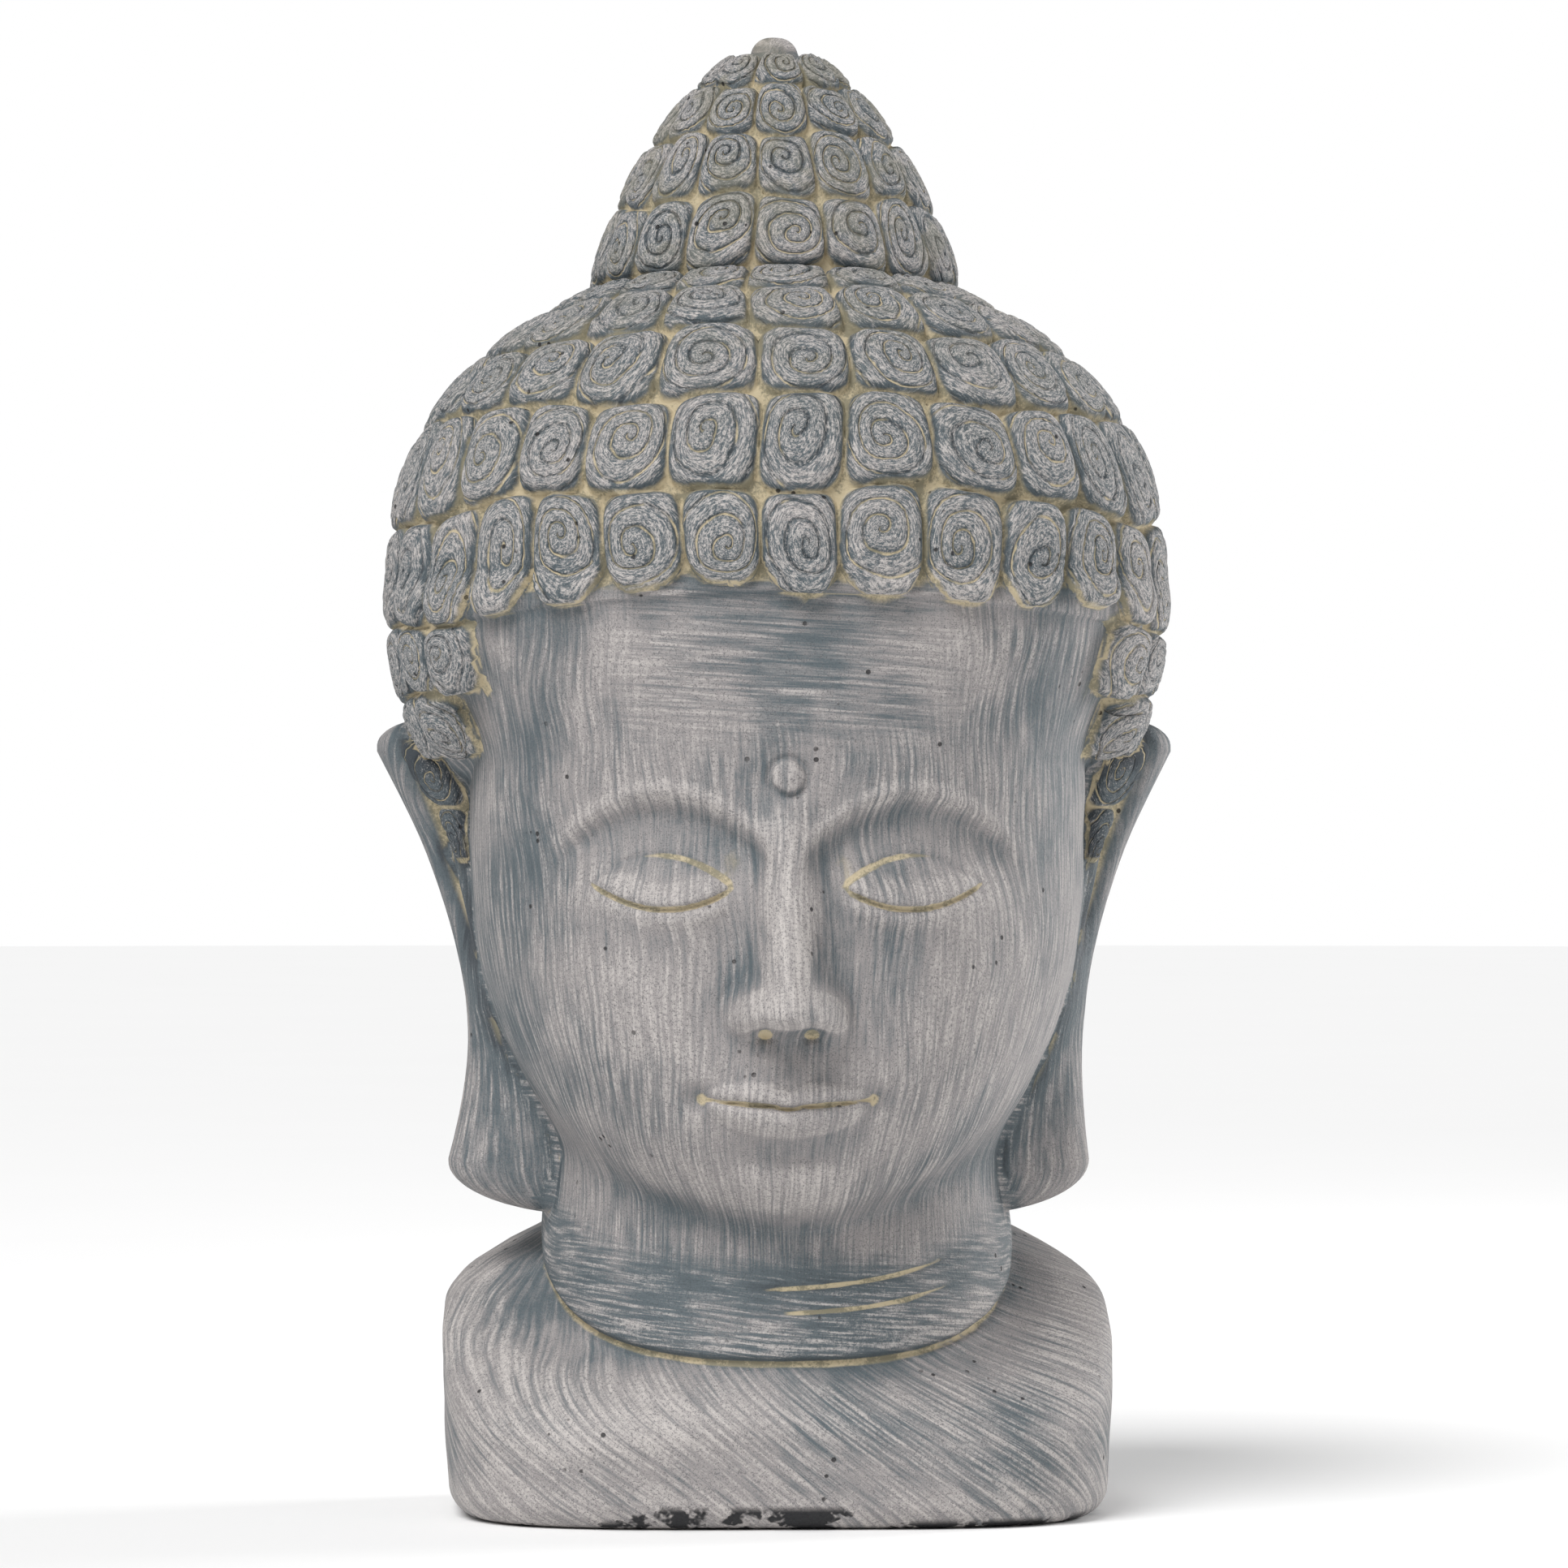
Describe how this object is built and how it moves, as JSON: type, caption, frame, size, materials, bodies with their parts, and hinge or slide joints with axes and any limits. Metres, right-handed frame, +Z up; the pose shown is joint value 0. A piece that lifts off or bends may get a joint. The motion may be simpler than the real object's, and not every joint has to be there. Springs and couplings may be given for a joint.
{
  "type": "buddha head garden statue",
  "caption": "Cast garden statue of a Buddha head with a calm face, long ears, rows of snail-shell curls, a topknot and a flat-bottomed shoulder base.",
  "frame": {"origin": "centre of the flat underside", "axes": "+Z up, -Y is where the face looks, +X towards the viewer's right"},
  "size_m": [0.4022, 0.4014, 0.75],
  "materials": {
    "weathered_stone": "matt cast stone with a slate-blue wash and beige in the creases"
  },
  "bodies": {
    "root": {"buddha_head": "weathered_stone"}
  },
  "joints": []
}
